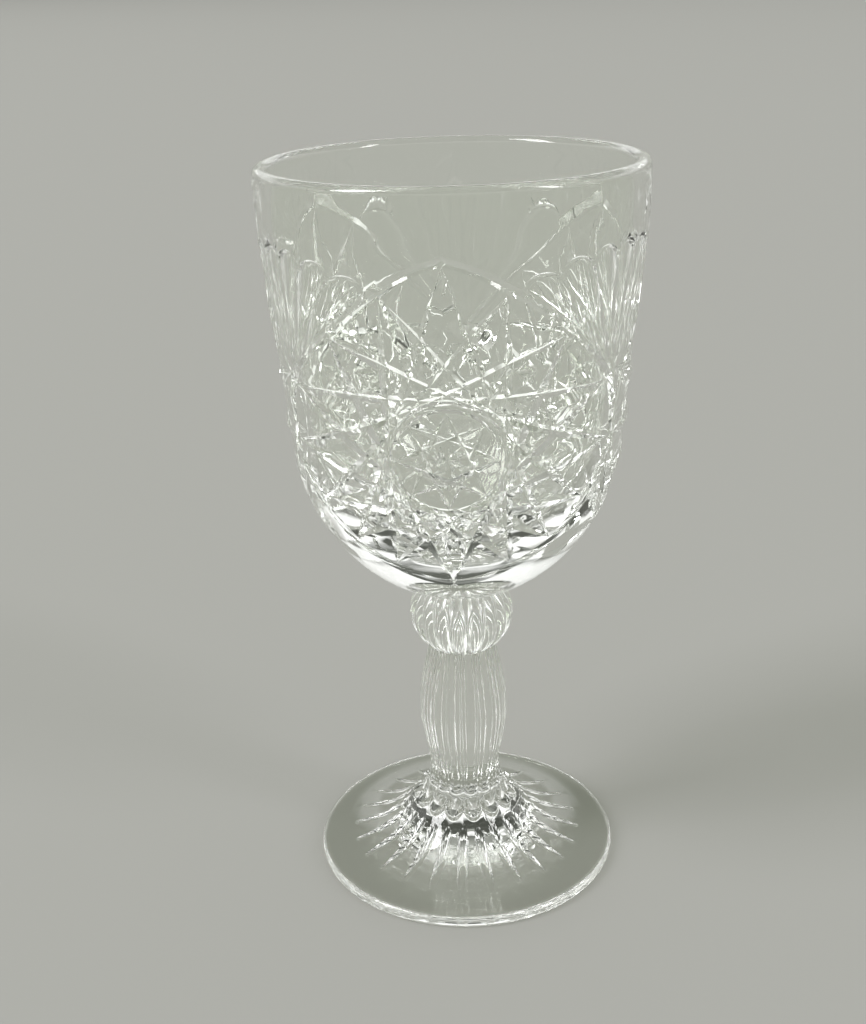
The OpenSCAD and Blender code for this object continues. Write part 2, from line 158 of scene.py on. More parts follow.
bowlGlass = pressedGlass("pressedBowlGlass", glassFinish["waveSize"], glassFinish["waveDepth"])
stemGlass = pressedGlass("pressedStemGlass", glassFinish["waveSize"] / 2, glassFinish["waveDepth"] / 2)
footGlass = pressedGlass("pressedFootGlass", glassFinish["waveSize"], glassFinish["waveDepth"])
seamGlass = fusedSeam()
print("glass mixed")

# all sizes are in millimetres, as in the drawing of the solids, apart from the depths of some cuts


def addPiece(name, points, faces, glass, seamTest, crease, nodes):
    # seamTest says whether a level face at a radius and a height is fused to the next piece
    mesh = bpy.data.meshes.new(name)
    mesh.from_pydata([tuple(p) for p in np.asarray(points) * mm], [], [tuple(f) for f in faces])
    work = bmesh.new()
    work.from_mesh(mesh)
    bmesh.ops.remove_doubles(work, verts=work.verts, dist=weld)
    bmesh.ops.recalc_face_normals(work, faces=work.faces)
    openEdges = sum(1 for e in work.edges if not e.is_manifold)
    work.to_mesh(mesh)
    work.free()
    mesh.materials.append(glass)
    mesh.materials.append(seamGlass)
    for face in mesh.polygons:
        face.use_smooth = True
        centre = face.center / mm
        if abs(face.normal.z) > level and seamTest(math.hypot(centre.x, centre.y), centre.z):
            face.material_index = 1
    mesh.set_sharp_from_angle(angle=math.radians(crease))
    piece = bpy.data.objects.new(name, mesh)
    bpy.context.collection.objects.link(piece)
    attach(piece, "root")
    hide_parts(*nodes)
    print(name, len(mesh.polygons), "faces, open edges:", openEdges)


def stackRings(rings, closed):
    # quads between rings of points, with a fan of triangles over each end that is closed
    count = len(rings[0])
    points = np.concatenate(rings)
    faces = []
    for i in range(len(rings) - 1):
        for k in range(count):
            a, b = i * count + k, i * count + (k + 1) % count
            faces.append((a, b, b + count, a + count))
    for end in closed:
        ring = 0 if end == "low" else len(rings) - 1
        middle = rings[ring].mean(axis=0)
        middle[:2] = 0
        points = np.vstack([points, middle])
        for k in range(count):
            faces.append((ring * count + k, ring * count + (k + 1) % count, len(points) - 1))
    return points, faces


def ring(r, z, count):
    a = np.arange(count) * 2 * math.pi / count
    return np.stack([r * np.sin(a), -r * np.cos(a), np.full(count, z)], -1)


def ribbedRing(r, z, ribs, groove, sharp, steps):
    k = np.arange(ribs * steps)
    a = 2 * math.pi * k / (ribs * steps)
    across = np.abs(2 * (k % steps) / steps - 1)
    radius = r - groove * across ** sharp
    return np.stack([radius * np.sin(a), -radius * np.cos(a), np.full(len(k), z)], -1)


def capped(rings):
    # each end gets a ring half way in, so that its flat is not one fan of slivers
    ends = [rings[0] * [0.5, 0.5, 1], rings[-1] * [0.5, 0.5, 1]]
    return stackRings([ends[0]] + rings + [ends[1]], ["low", "high"])


def cross2(a, b):
    return a[0] * b[1] - a[1] * b[0]


# foot

footSizes = {
    "width": 73.4, "height": 15.0, "hub": 22.4, "edge": 3.0, "edgeRound": 1.2,
    "power": 2.8,                 # how hard its top sweeps up to the hub
    "ring": 5.0, "hollow": 1.8,   # width of the ring that it stands on, and depth of the hollow inside
    "flutes": 24, "fluteStart": 13.8, "fluteEnd": 28.6, "fluteDepth": 0.8, "fluteRadius": 1.5,
    # the collar's reeds run out on the foot to here, end in scallops this deep and stand this proud
    "skirt": 12.7, "scallop": 1.5, "skirtStep": 1.0,
    # the rounding under that step, how far out of the scallops and how far over the foot, and its top
    "stepFoot": ((0.3, 0), (0.2, 0.06), (0.14, 0.2)), "stepTop": (0.06, 0.1),
    "skirtShares": (0, 0.1, 0.25, 0.4, 0.55, 0.7, 0.85, 1),
    "columns": 20, "inside": 6,   # to a flute, and how many each side of its middle lie in it
    "leastHalf": 0.1,             # half of the width that these keep beyond the flute's ends
    "hollowStart": 1.5, "hollowRings": 16, "roundRings": 9, "plainRings": 10, "plainGap": 2,
    "fluteRings": 61,
    "crease": 24,   # degrees between two facets from which the edge between them is sharp
}


def makeFoot():
    s = footSizes
    footR, hubR = s["width"] / 2, s["hub"] / 2
    shoulder = footR - s["edgeRound"]

    def topAt(r):
        return s["edge"] + (s["height"] - s["edge"]) * ((footR - r) / (footR - hubR)) ** s["power"]

    # the wheel's path: a circle through both ends and the middle of a flute
    a = np.array([s["fluteStart"], topAt(s["fluteStart"])])
    c = np.array([s["fluteEnd"], topAt(s["fluteEnd"])])
    middle = (s["fluteStart"] + s["fluteEnd"]) / 2
    b = np.array([middle, topAt(middle) - s["fluteDepth"]])
    ab, ac = b - a, c - a
    d = 2 * cross2(ab, ac)
    centre = a + np.array([ac[1] * (ab @ ab) - ab[1] * (ac @ ac),
                           ab[0] * (ac @ ac) - ac[0] * (ab @ ab)]) / d
    wheel = np.hypot(*(a - centre))
    side = 1 if b[1] > centre[1] else -1
    columns, inside = s["columns"], s["inside"]
    count = s["flutes"] * columns
    k = np.arange(count)
    place = (k + columns // 2) % columns - columns // 2   # column in its flute, 0 on the middle line
    inFlute = np.abs(place) <= inside
    fluteAngle = (k - place) / columns * 2 * math.pi / s["flutes"]
    halfStep = math.pi / s["flutes"]
    even = 2 * math.pi * k / count
    across = 2 * (k * stemSizes["reeds"] / count % 1) - 1

    def ringOf(radius, angle, z):
        return np.stack([radius * np.sin(angle), -radius * np.cos(angle), z + 0 * k], -1)

    def plainRing(r, z):
        return ringOf(r, even, z)

    def fluteRing(r):
        # the columns run along the flutes, so that their edges are clean lines
        wall = s["fluteRadius"]
        path = centre[1] + side * math.sqrt(wheel ** 2 - (r - centre[0]) ** 2)
        depth = topAt(r) - path if s["fluteStart"] < r < s["fluteEnd"] else 0
        half = math.sqrt(max(0, wall ** 2 - (wall - max(0, depth)) ** 2))
        width = max(half, s["leastHalf"]) / r
        outer = width + (halfStep - width) * (np.abs(place) - inside) / (columns // 2 - inside)
        angle = fluteAngle + np.sign(place) * np.where(inFlute, width * np.abs(place) / inside, outer)
        y = half * place / inside
        cut = path + wall - np.sqrt(np.clip(wall ** 2 - y ** 2, 0, None))
        return ringOf(r, angle, np.where(inFlute & (half > 0), np.minimum(cut, topAt(r)), topAt(r)))

    ringIn = shoulder - s["ring"]
    rings = [plainRing(r, s["hollow"] * (1 - (r / ringIn) ** 2))
             for r in np.linspace(s["hollowStart"], ringIn, s["hollowRings"])]
    edgeR = s["edgeRound"]
    rings += [plainRing(shoulder + edgeR * math.cos(t), edgeR + edgeR * math.sin(t))
              for t in np.radians(np.linspace(-90, 0, s["roundRings"]))]
    rings += [plainRing(shoulder + edgeR * math.cos(t), s["edge"] - edgeR * (1 - math.sin(t)))
              for t in np.radians(np.linspace(0, 90, s["roundRings"]))]
    rings += [plainRing(r, topAt(r))
              for r in np.linspace(shoulder, s["fluteEnd"] + s["plainGap"], s["plainRings"])[1:]]
    turns = np.linspace(0, math.pi, s["fluteRings"])
    rings += [fluteRing(r) for r in middle + (s["fluteEnd"] - middle) * np.cos(turns)]
    hub = collarSizes["width"] / 2 - collarSizes["groove"] * across ** 2
    scallop = s["skirt"] - s["scallop"] * across ** 2
    top = topAt(scallop) + s["skirtStep"]
    for out, over in s["stepFoot"]:
        rings.append(ringOf(scallop + out, even, topAt(scallop + out) + over))
    rings.append(ringOf(scallop + s["stepTop"][0], even, top - s["stepTop"][1]))
    for t in s["skirtShares"]:
        rings.append(ringOf(scallop + (hub - scallop) * t, even, top + (s["height"] - top) * t))
    rings.append(rings[-1] * [0.5, 0.5, 1])
    points, faces = stackRings(rings, ["low", "high"])
    addPiece("flutedFoot", points, faces, footGlass,
             lambda r, z: z > s["height"] - touching, s["crease"], ["foot"])


# collar

collarSizes = {
    "height": 5.0, "width": 21.8, "groove": 0.8, "spread": 1.3,
    "rings": 13, "columns": 32, "crease": 40,
    # the arched ends of the reeds: how far they dip, and how far the highest stays under the stem
    "wave": 1.2, "top": 0.2,
    # their rounded edge: how far out of the neck it stands, and how far over the wavy line
    "brow": ((0.55, -0.35), (0.55, -0.15), (0.47, 0.0), (0.03, 0.05), (0.0, 0.15)),
}


def makeCollar():
    # the stem's reeds end in a wavy brow, below which the collar spreads out to the foot
    s, columns = collarSizes, collarSizes["columns"]
    k = np.arange(stemSizes["reeds"] * columns)
    across = 2 * (k % columns) / columns - 1
    angle = 2 * math.pi * k / len(k)
    neck = stemSizes["base"] / 2 - stemSizes["groove"] * np.abs(across) ** stemSizes["sharp"]
    spread = s["width"] / 2 - s["groove"] * across ** 2
    line = s["height"] - s["top"] - s["wave"] * (1 - across ** 2)

    def collarRing(radius, h):
        return np.stack([radius * np.sin(angle), -radius * np.cos(angle), collarZ + h + 0 * k], -1)

    out, under = neck + s["brow"][0][0], line + s["brow"][0][1]
    rings = [collarRing(out + (spread - out) * (1 - t) ** s["spread"], under * t)
             for t in np.linspace(0, 1, s["rings"])]
    rings += [collarRing(neck + proud, line + over) for proud, over in s["brow"][1:]]
    rings.append(collarRing(neck, s["height"]))
    points, faces = capped(rings)
    addPiece("reededCollar", points, faces, footGlass, lambda radius, z: True, s["crease"], ["collar"])


# stem

stemSizes = {
    "height": 36.2, "top": 15.6, "belly": 21.4, "bellyHeight": 19.8, "waist": 17.0, "waistHeight": 2.4,
    "base": 17.6, "swell": 1.6,   # how full the belly is towards the waist
    "reeds": 15, "groove": 0.7, "sharp": 3.2,
    "rings": 73, "columns": 32, "crease": 40,
}


def stemRadius(h):
    s = stemSizes
    belly, top, waist, base = s["belly"] / 2, s["top"] / 2, s["waist"] / 2, s["base"] / 2
    if h > s["bellyHeight"]:
        return top + (belly - top) * math.cos(
            math.pi / 2 * (h - s["bellyHeight"]) / (s["height"] - s["bellyHeight"]))
    if h > s["waistHeight"]:
        return waist + (belly - waist) * math.cos(
            math.pi / 2 * (s["bellyHeight"] - h) / (s["bellyHeight"] - s["waistHeight"])) ** s["swell"]
    return waist + (base - waist) * ((s["waistHeight"] - h) / s["waistHeight"]) ** 2


def makeStem():
    s = stemSizes
    rings = [ribbedRing(stemRadius(h), stemZ + h, s["reeds"], s["groove"], s["sharp"], s["columns"])
             for h in np.linspace(0, s["height"], s["rings"])]
    points, faces = capped(rings)
    addPiece("reededStem", points, faces, stemGlass, lambda radius, z: True, s["crease"], ["stem"])


# knop

knopSizes = {
    "height": 16.4, "width": 24.6, "middle": 8.6, "ribs": 21, "groove": 1.5,
    "fade": (7.5, 14.0, 0.2),   # the grooves die away between these heights, down to this share
    "sharp": 2.0,               # 2 is a round rib, and more makes its crest broader
    "rings": 61, "columns": 20, "crease": 40,
}


def makeKnop():
    r, s = knopSizes["width"] / 2, knopSizes
    halfHeight = s["middle"] / math.sqrt(1 - (stemSizes["top"] / 2 / r) ** 2)
    start, stop, least = s["fade"]
    rings = []
    for h in np.linspace(0, s["height"], s["rings"]):
        t = min(1, max(0, (h - start) / (stop - start)))
        groove = s["groove"] * (1 - (1 - least) * t * t * (3 - 2 * t))
        rings.append(ribbedRing(r * math.sqrt(1 - ((h - s["middle"]) / halfHeight) ** 2), knopZ + h,
                                s["ribs"], groove, s["sharp"], s["columns"]))
    points, faces = capped(rings)
    addPiece("ribbedKnop", points, faces, stemGlass, lambda radius, z: True, s["crease"], ["knop"])


collarZ = footSizes["height"]
stemZ = collarZ + collarSizes["height"]
knopZ = stemZ + stemSizes["height"]
bowlZ = knopZ + knopSizes["height"]

# bowl

bowlSizes = {
    "rim": 84.0, "cup": 77.2, "base": 22.6, "height": 97.4,
    "middle": 45.4, "band": 10.0,   # height of the widest place, and the plain band under the lip
    "rimWall": 3.4, "cupWall": 4.2, "floor": 7.0,
    "seam": 8.2,    # radius within which its base is fused to the knop
    "columns": 144, "outlineSteps": 160, "insideSteps": 48, "lipSteps": 16, "crease": 16,
}
topZ = bowlZ + bowlSizes["height"]


def cupOutline(r, halfHeight, centreZ, lowZ, topR, topAt, steps):
    # an ellipse from the bottom up to where a straight line to the top touches it
    px, pz = topR / r, (topAt - centreZ) / halfHeight
    touch = math.atan2(pz, px) - math.acos(1 / math.hypot(px, pz))
    start = math.asin(max(-1.0, (lowZ - centreZ) / halfHeight))
    arc = np.linspace(start, touch, steps + 1)
    curve = np.stack([r * np.cos(arc), centreZ + halfHeight * np.sin(arc)], -1)
    return np.vstack([curve, [[topR, topAt]]])


cupR = bowlSizes["cup"] / 2
rimR = bowlSizes["rim"] / 2
middleZ = bowlZ + bowlSizes["middle"]
bandZ = topZ - bowlSizes["band"]
lipR = bowlSizes["rimWall"] / 2
outerHalf = bowlSizes["middle"] / math.sqrt(1 - (bowlSizes["base"] / 2 / cupR) ** 2)
outline = cupOutline(cupR, outerHalf, middleZ, bowlZ, rimR, bandZ, bowlSizes["outlineSteps"])
outline = np.vstack([outline, [[rimR, topZ - lipR]]])
travel = np.concatenate([[0], np.cumsum(np.hypot(*np.diff(outline, axis=0).T))])


def onBowl(angle, up, depth):
    # angle in radians from the front, up along the outline, depth below the plain surface
    r = np.interp(up, travel, outline[:, 0])
    z = np.interp(up, travel, outline[:, 1])
    rise = np.maximum(0, middleZ - z)
    size = np.hypot(r, rise)
    r, z = r - depth * r / size, z + depth * rise / size
    return np.stack([r * np.sin(angle), -r * np.cos(angle), z], -1)


# the medallion: a star of mitre cuts round a button

starSizes = {
    "count": 3, "height": 42.8, "up": 39.9, "down": 31.1, "side": 32.8,   # its reach from its middle
    "skip": 6,        # each line joins a point to the sixth after it
    "sink": 0.4,      # the points and peaks lie this far below the plain glass
    "rise": 0.6,      # from the stones' shoulders to that, and the cuts go deeper than the shoulders
    "cutWidth": 0.9, "cutDepth": 1.2,
    "border": 2.0, "borderCut": (0.7, 0.8),   # width, and how far out and how deep its sharp line is
    "buttonRadius": 10.9, "buttonPoints": 8, "buttonSkip": 3,
    "buttonCutWidth": 0.6, "buttonCutDepth": 1.0, "buttonRise": 0.5,
    "rays": 0.55,     # the small star in its middle, as a share of the flat that it fills
    "channelFloor": (11.25, 11.95), "channelDepth": 1.2, "lipRadius": 12.3,
    "dome": 0.13,     # how far a crown stands proud, as a share of its width
    "fineness": 4,    # each drawn triangle is split this many times along its sides
}
# points of the star from the top round to the bottom, in shares of its reach
halfStar = [(0, 1), (0.384, 0.852), (0.73, 0.612), (0.982, 0.316), (1, -0.016),
            (0.838, -0.4), (0.628, -0.682), (0.372, -0.855), (0, -1)]
starZ = bowlZ + starSizes["height"]


def unrolled(x, y):
    # the star is drawn as seen from the front, then wrapped on the bowl
    r = np.interp(starZ + y, outline[:, 1], outline[:, 0])
    return np.arcsin(x / r), np.interp(starZ + y, outline[:, 1], travel)


def lineCrossing(a, b, c, d):
    return a + (b - a) * cross2(c - a, d - c) / cross2(b - a, d - c)


def lineDistance(p, a, b):
    return abs(cross2(p - a, b - a)) / np.hypot(*(b - a))


def starCrossing(points, skip, j, m):
    # where line m meets the line j places further round, or its tip or middle
    n = len(points)
    a, b = points[(m - skip) % n], points[m % n]
    if j == skip:
        return b
    if j == 0:
        return a - (b - a) * (a @ (b - a)) / ((b - a) @ (b - a))
    return lineCrossing(a, b, points[(m - skip + j) % n], points[(m + j) % n])


def apart(a, b):
    # corners that fall together make no facet
    return np.abs(a - b).max() > 1e-9


def stone(rim, crown, heart, dome):
    # triangles from a rim up to a crown, and from there to the heart, where the dome is highest
    triangles = []
    for i in range(len(rim)):
        k = (i + 1) % len(rim)
        a, b, c, d = rim[i], rim[k], crown[k], crown[i]
        if apart(b, c):
            triangles.append((a, b, c, 0))
        if apart(a, d) and apart(c, d):
            triangles.append((a, c, d, 0))
        if apart(c, d):
            triangles.append((d, c, heart, dome))
    return triangles


def deep(p, depth):
    return np.array([p[0], p[1], depth])


def kite(points, skip, j, m, cut, face, shoulder, low):
    # a stone between four crossings, with half a mitre cut along each side and a raised peak
    top = starCrossing(points, skip, j + 1, m)
    left = starCrossing(points, skip, j, m)
    bottom = starCrossing(points, skip, j - 1, m + 1)
    right = starCrossing(points, skip, j, m + 1)
    highSides = np.hypot(*(top - left)) + np.hypot(*(top - right))
    lowSides = np.hypot(*(bottom - left)) + np.hypot(*(bottom - right))
    heart = bottom + (top - bottom) * lowSides / (lowSides + highSides)
    room = min(lineDistance(heart, top, left), lineDistance(heart, left, bottom),
               lineDistance(heart, bottom, right), lineDistance(heart, right, top))
    keep = max(0, 1 - cut / room)
    crest = low + (shoulder - low) * min(1, room / cut)
    tip = j + 1 == skip
    rim = [deep(top, face if tip else low), deep(left, low), deep(bottom, low), deep(right, low)]
    crown = [deep(heart + keep * (p - heart), crest) for p in (top, left, bottom, right)]
    if tip:
        crown[0] = rim[0]
    peak = crest + (face - shoulder) * keep
    return stone(rim, crown, deep(heart, peak), starSizes["dome"] * room * keep)


def edgePoints(points, m):
    # the star's outline bows a little outward between its points
    n = len(points)
    a, b = points[m % n], points[(m + 1) % n]
    outward = np.array([a[1] - b[1], b[0] - a[0]]) * 2 * math.tan(math.pi / 2 / n)
    return [a + (b - a) * t + outward * t * (1 - t) for t in (0, 0.25, 0.5, 0.75)]


def cornerStone(points, skip, m, cut, face, shoulder, low):
    # the stone between two points of the star and its outline
    edge = edgePoints(points, m)
    notch = starCrossing(points, skip, skip - 1, m + 1)
    room = lineDistance(edge[2], notch, edge[0])
    inner = notch + (edge[2] - notch) * min(0.5, cut / room)
    top = [deep(p, face) for p in [points[(m + 1) % len(points)]] + edge[::-1]]
    middle = inner + (edge[2] - inner) * 0.5
    return stone(top + [deep(notch, low)], top + [deep(inner, shoulder)],
                 deep(middle, (face + shoulder) / 2), 0)


def starStones(points, skip, cut, face, shoulder, low):
    triangles = []
    for m in range(len(points)):
        for j in range(1, skip):
            triangles += kite(points, skip, j, m, cut, face, shoulder, low)
        triangles += cornerStone(points, skip, m, cut, face, shoulder, low)
    return triangles


def footLoop(points, skip, low):
    # the inner edge of the web, where its lines come nearest to the middle
    loop = []
    for m in range(len(points)):
        loop.append(deep(starCrossing(points, skip, 1, m), low))
        loop.append(deep(starCrossing(points, skip, 0, m + 1), low))
    return loop


def rimLoop(points, face):
    return [deep(p, face) for m in range(len(points)) for p in edgePoints(points, m)]


def strip(inner, outer):
    # triangles between two loops with as many points
    triangles = []
    for k in range(len(inner)):
        n = (k + 1) % len(inner)
        triangles += [(inner[k], outer[n], outer[k], 0), (inner[k], inner[n], outer[n], 0)]
    return triangles


def circlePoints(r, count):
    return [np.array([r * math.sin(2 * math.pi * k / count), r * math.cos(2 * math.pi * k / count)])
            for k in range(count)]


def splitTriangles(triangles, n):
    # every triangle becomes n * n smaller ones, and crowns swell towards their hearts
    corners = np.array([t[:3] for t in triangles])
    domes = np.array([t[3] for t in triangles])
    spots = [(i, j) for i in range(n + 1) for j in range(n + 1 - i)]
    number = {spot: k for k, spot in enumerate(spots)}
    weights = np.array([[(n - i - j) / n, j / n, i / n] for i, j in spots])
    small = []
    for i in range(n):
        for j in range(n - i):
            small.append((number[i, j], number[i, j + 1], number[i + 1, j]))
            if i + j < n - 1:
                small.append((number[i, j + 1], number[i + 1, j + 1], number[i + 1, j]))
    points = np.einsum("sw,twc->tsc", weights, corners)
    heart = weights[:, 2]
    points[:, :, 2] -= domes[:, None] * (heart * (2 - heart))[None, :]
    faces = np.array(small)[None] + (np.arange(len(triangles)) * len(spots))[:, None, None]
    return points.reshape(-1, 3), faces.reshape(-1, 3)


starFace = starSizes["sink"]
starShoulder = starFace + starSizes["rise"]
starLow = starShoulder + starSizes["cutDepth"]
buttonShoulder = starFace + starSizes["buttonRise"]
buttonLow = buttonShoulder + starSizes["buttonCutDepth"]
half = [np.array([x * starSizes["side"], y * starSizes["up" if y >= 0 else "down"]])
        for x, y in halfStar]
starPoints = half + [p * [-1, 1] for p in half[-2:0:-1]]
buttonPoints = circlePoints(starSizes["buttonRadius"], starSizes["buttonPoints"])
centreLoop = footLoop(buttonPoints, starSizes["buttonSkip"], buttonLow)[::-1]
rays = [deep(p * starSizes["rays"], buttonLow if i % 2 else starFace)
        for i, p in enumerate(centreLoop)]
buttonRim = rimLoop(buttonPoints, starFace)
channelIn, channelOut = [
    [deep(p, starFace + starSizes["channelDepth"]) for p in circlePoints(r, len(buttonRim))]
    for r in starSizes["channelFloor"]]
lipLoop = [deep(p, starFace) for p in circlePoints(starSizes["lipRadius"], len(buttonRim))]
webFoot = footLoop(starPoints, starSizes["skip"], starLow)
webFoot = webFoot[starSizes["skip"] - 1:] + webFoot[:starSizes["skip"] - 1]
medallionPlan = (
    stone(centreLoop, rays, np.array([0, 0, buttonLow]), 0)
    + starStones(buttonPoints, starSizes["buttonSkip"], starSizes["buttonCutWidth"],
                 starFace, buttonShoulder, buttonLow)
    + strip(buttonRim, channelIn) + strip(channelIn, channelOut) + strip(channelOut, lipLoop)
    + strip(lipLoop, webFoot)
    + starStones(starPoints, starSizes["skip"], starSizes["cutWidth"], starFace, starShoulder, starLow)
)
planPoints, planFaces = splitTriangles(medallionPlan, starSizes["fineness"])
angles, ups = unrolled(planPoints[:, 0], planPoints[:, 1])
medallionPoints = onBowl(angles, ups, planPoints[:, 2])
print("medallion drawn,", len(planFaces), "facets")

# the plain glass, the border and the fans: half of a third of the bowl, mirrored and turned
fanSizes = {
    "height": 51.8, "middleReach": 32.5, "sideReach": 38.5, "start": 9.0, "flutes": 7, "step": 13.2,
    "depth": 0.9, "ridge": 0.2, "runOut": 2.4, "sideSlope": 1.5,
    # points across a flute, and along its start, its middle, from this far past the start, and its end
    "columns": 14, "startPoints": 4, "flutePoints": 12, "firstPoint": 3.0,
    "endShares": (0.8, 0.6, 0.4, 0.22, 0.1, 0.03, 0.0),
}
# points of the plain glass between medallion and fan
fieldMesh = {
    "sideSteps": 89, "overStar": 11, "underStar": 13,   # up the far side, and over and under the star
    "spacing": 1.9, "rowShare": 0.87,     # from point to point, and from row to row as a share of that
    "borderGap": 0.8, "sideGap": 0.6,     # kept clear of the border and of the far side
    "fanHalf": 48, "fanReach": (8, 41),   # degrees and mm round the fan that its own points fill
    "lineMargin": (0.02, 0.4, 0.25),      # lines stop this far from the sides, the ends and the star
    "closest": 1e-5,
}
fanX = cupR * math.pi / starSizes["count"]
fanUp = np.interp(bowlZ + fanSizes["height"], outline[:, 1], travel)
centreUp = np.interp(starZ, outline[:, 1], travel)
webRim = rimLoop(starPoints, starFace)
halfRim = []
for k in range(len(webRim) // 2):
    for t in range(starSizes["fineness"]):
        share = t / starSizes["fineness"]
        halfRim.append(webRim[k] * (1 - share) + webRim[k + 1] * share)
halfRim.append(webRim[len(webRim) // 2])
halfRim = np.array(halfRim)
rimAngle, rimUp = unrolled(halfRim[:, 0], halfRim[:, 1])
rimFlat = np.stack([rimAngle * cupR, rimUp], -1)
rimTurn = np.arctan2(rimFlat[:, 0], rimFlat[:, 1] - centreUp)
rimReach = np.hypot(rimFlat[:, 0], rimFlat[:, 1] - centreUp)


def borderDistance(p):
    turn = np.arctan2(np.abs(p[:, 0]), p[:, 1] - centreUp)
    return np.hypot(p[:, 0], p[:, 1] - centreUp) - np.interp(turn, rimTurn, rimReach)


def fanEnd(turn):
    # how far the flute at this turn goes, how far from its middle line that is, and its full reach
    s = fanSizes
    halfAngle = s["flutes"] * s["step"] / 2
    reach = s["middleReach"] + (s["sideReach"] - s["middleReach"]) * (turn / halfAngle) ** 2
    across = 2 * ((turn / s["step"] + s["flutes"] / 2) % 1) - 1
    bow = np.sqrt(np.clip(1 - across ** 2, 0, 1))
    return reach * (1 - math.tan(math.radians(s["step"] / 2)) * (1 - bow)), across, reach


def fieldDepth(p):
    # how deep the border or the fan's flutes cut into the plain glass at each point
    s = fanSizes
    line, depth = starSizes["borderCut"]
    border = np.interp(borderDistance(p), [0, line, starSizes["border"]], [starFace, depth, 0])
    x, y = p[:, 0] - fanX, p[:, 1] - fanUp
    distance, turn = np.hypot(x, y), np.degrees(np.arctan2(x, y))
    end, across, reach = fanEnd(turn)
    flute = (s["ridge"] + (s["depth"] - s["ridge"]) * (1 - across ** 2)) * distance / reach
    start = np.clip((distance - s["start"]) / s["runOut"], 0, 1)
    stop = np.clip((end - distance) / s["runOut"], 0, 1)
    side = np.clip((s["flutes"] * s["step"] / 2 + s["sideSlope"] - np.abs(turn)) / s["sideSlope"], 0, 1)
    fan = flute * start * np.sqrt(1 - (1 - stop) ** 2) * side
    return np.maximum(0, np.maximum(border, fan))


def halfField():
    s = fieldMesh
    columns = bowlSizes["columns"] // starSizes["count"] // 2
    top = travel[-1]
    marginSide, marginEnd, marginStar = s["lineMargin"]
    corners = []
    corners += [(fanX * k / columns, 0.0) for k in range(columns)]
    corners += [(fanX, u) for u in np.linspace(0, top, s["sideSteps"] + 1)[:-1]]
    corners += [(fanX * (1 - k / columns), top) for k in range(columns)]
    corners += [(0.0, u) for u in np.linspace(top, rimFlat[0, 1], s["overStar"] + 1)[:-1]]
    firstRim = len(corners)
    corners += [tuple(p) for p in rimFlat]
    corners += [(0.0, u) for u in np.linspace(rimFlat[-1, 1], 0, s["underStar"] + 1)[1:-1]]
    outer = list(range(len(corners)))
    points, edges = list(corners), []

    def addLine(line):
        last = None
        for p in line:
            inside = marginSide < p[0] < fanX - marginSide and marginEnd < p[1] < top - marginEnd
            if inside and borderDistance(np.array([p]))[0] > marginStar:
                points.append((float(p[0]), float(p[1])))
                if last is not None:
                    edges.append((last, len(points) - 1))
                last = len(points) - 1
            else:
                last = None

    out = rimFlat - [0, centreUp]
    for reach in (starSizes["borderCut"][0], starSizes["border"]):
        addLine([0, centreUp] + out * (1 + reach / rimReach)[:, None])
    steps = fanSizes["columns"]
    for k in range(-fanSizes["flutes"] * steps // 2 - 2, 1):
        turn = k * fanSizes["step"] / steps
        end = fanEnd(np.array([turn]))[0][0]
        inner, reach = fanSizes["start"], end - fanSizes["runOut"]
        stations = np.concatenate([
            np.linspace(inner, inner + fanSizes["runOut"], fanSizes["startPoints"]),
            np.linspace(inner + fanSizes["firstPoint"], reach, fanSizes["flutePoints"]),
            end - fanSizes["runOut"] * np.array(fanSizes["endShares"])])
        a = math.radians(turn)
        line = [(fanX + r * math.sin(a), fanUp + r * math.cos(a)) for r in stations]
        addLine(line)
    spacing = s["spacing"]
    fanFrom, fanTo = s["fanReach"]
    for row, u in enumerate(np.arange(spacing, top - spacing / 2, spacing * s["rowShare"])):
        for x in np.arange(spacing * (0.5 + 0.5 * (row % 2)), fanX - s["sideGap"], spacing):
            p = np.array([[x, u]])
            dx, dy = x - fanX, u - fanUp
            turn = abs(math.degrees(math.atan2(dx, dy)))
            nearFan = turn < s["fanHalf"] and fanFrom < math.hypot(dx, dy) < fanTo
            if borderDistance(p)[0] > starSizes["border"] + s["borderGap"] and not nearFan:
                points.append((x, u))
    flat, _, faces, origin, _, owners = delaunay_2d_cdt(points, edges, [outer], 1, s["closest"], True)
    flat = np.array([tuple(p) for p in flat])
    spots = onBowl(flat[:, 0] / cupR, flat[:, 1], fieldDepth(flat))
    # what meets the medallion, the lip or the base keeps exactly the depth that it has there
    rimSpots = onBowl(rimAngle, rimUp, starFace)
    edgeSpots = onBowl(flat[:, 0] / cupR, flat[:, 1], 0 * flat[:, 0])
    for k, sources in enumerate(origin):
        for source in sources:
            if firstRim <= source < firstRim + len(rimFlat):
                spots[k] = rimSpots[source - firstRim]
            elif source < len(corners) and corners[source][1] in (0.0, top):
                spots[k] = edgeSpots[k]
    # the triangles inside the star belong to no outline, as the medallion's own facets close it
    return spots, [tuple(f) for f, owner in zip(faces, owners) if owner]


fieldPoints, fieldFaces = halfField()
print("plain glass and fans drawn,", len(fieldFaces), "facets in a sixth")


def turned(points, a):
    c, s = math.cos(a), math.sin(a)
    x, y, z = points.T
    return np.stack([x * c - y * s, x * s + y * c, z], -1)


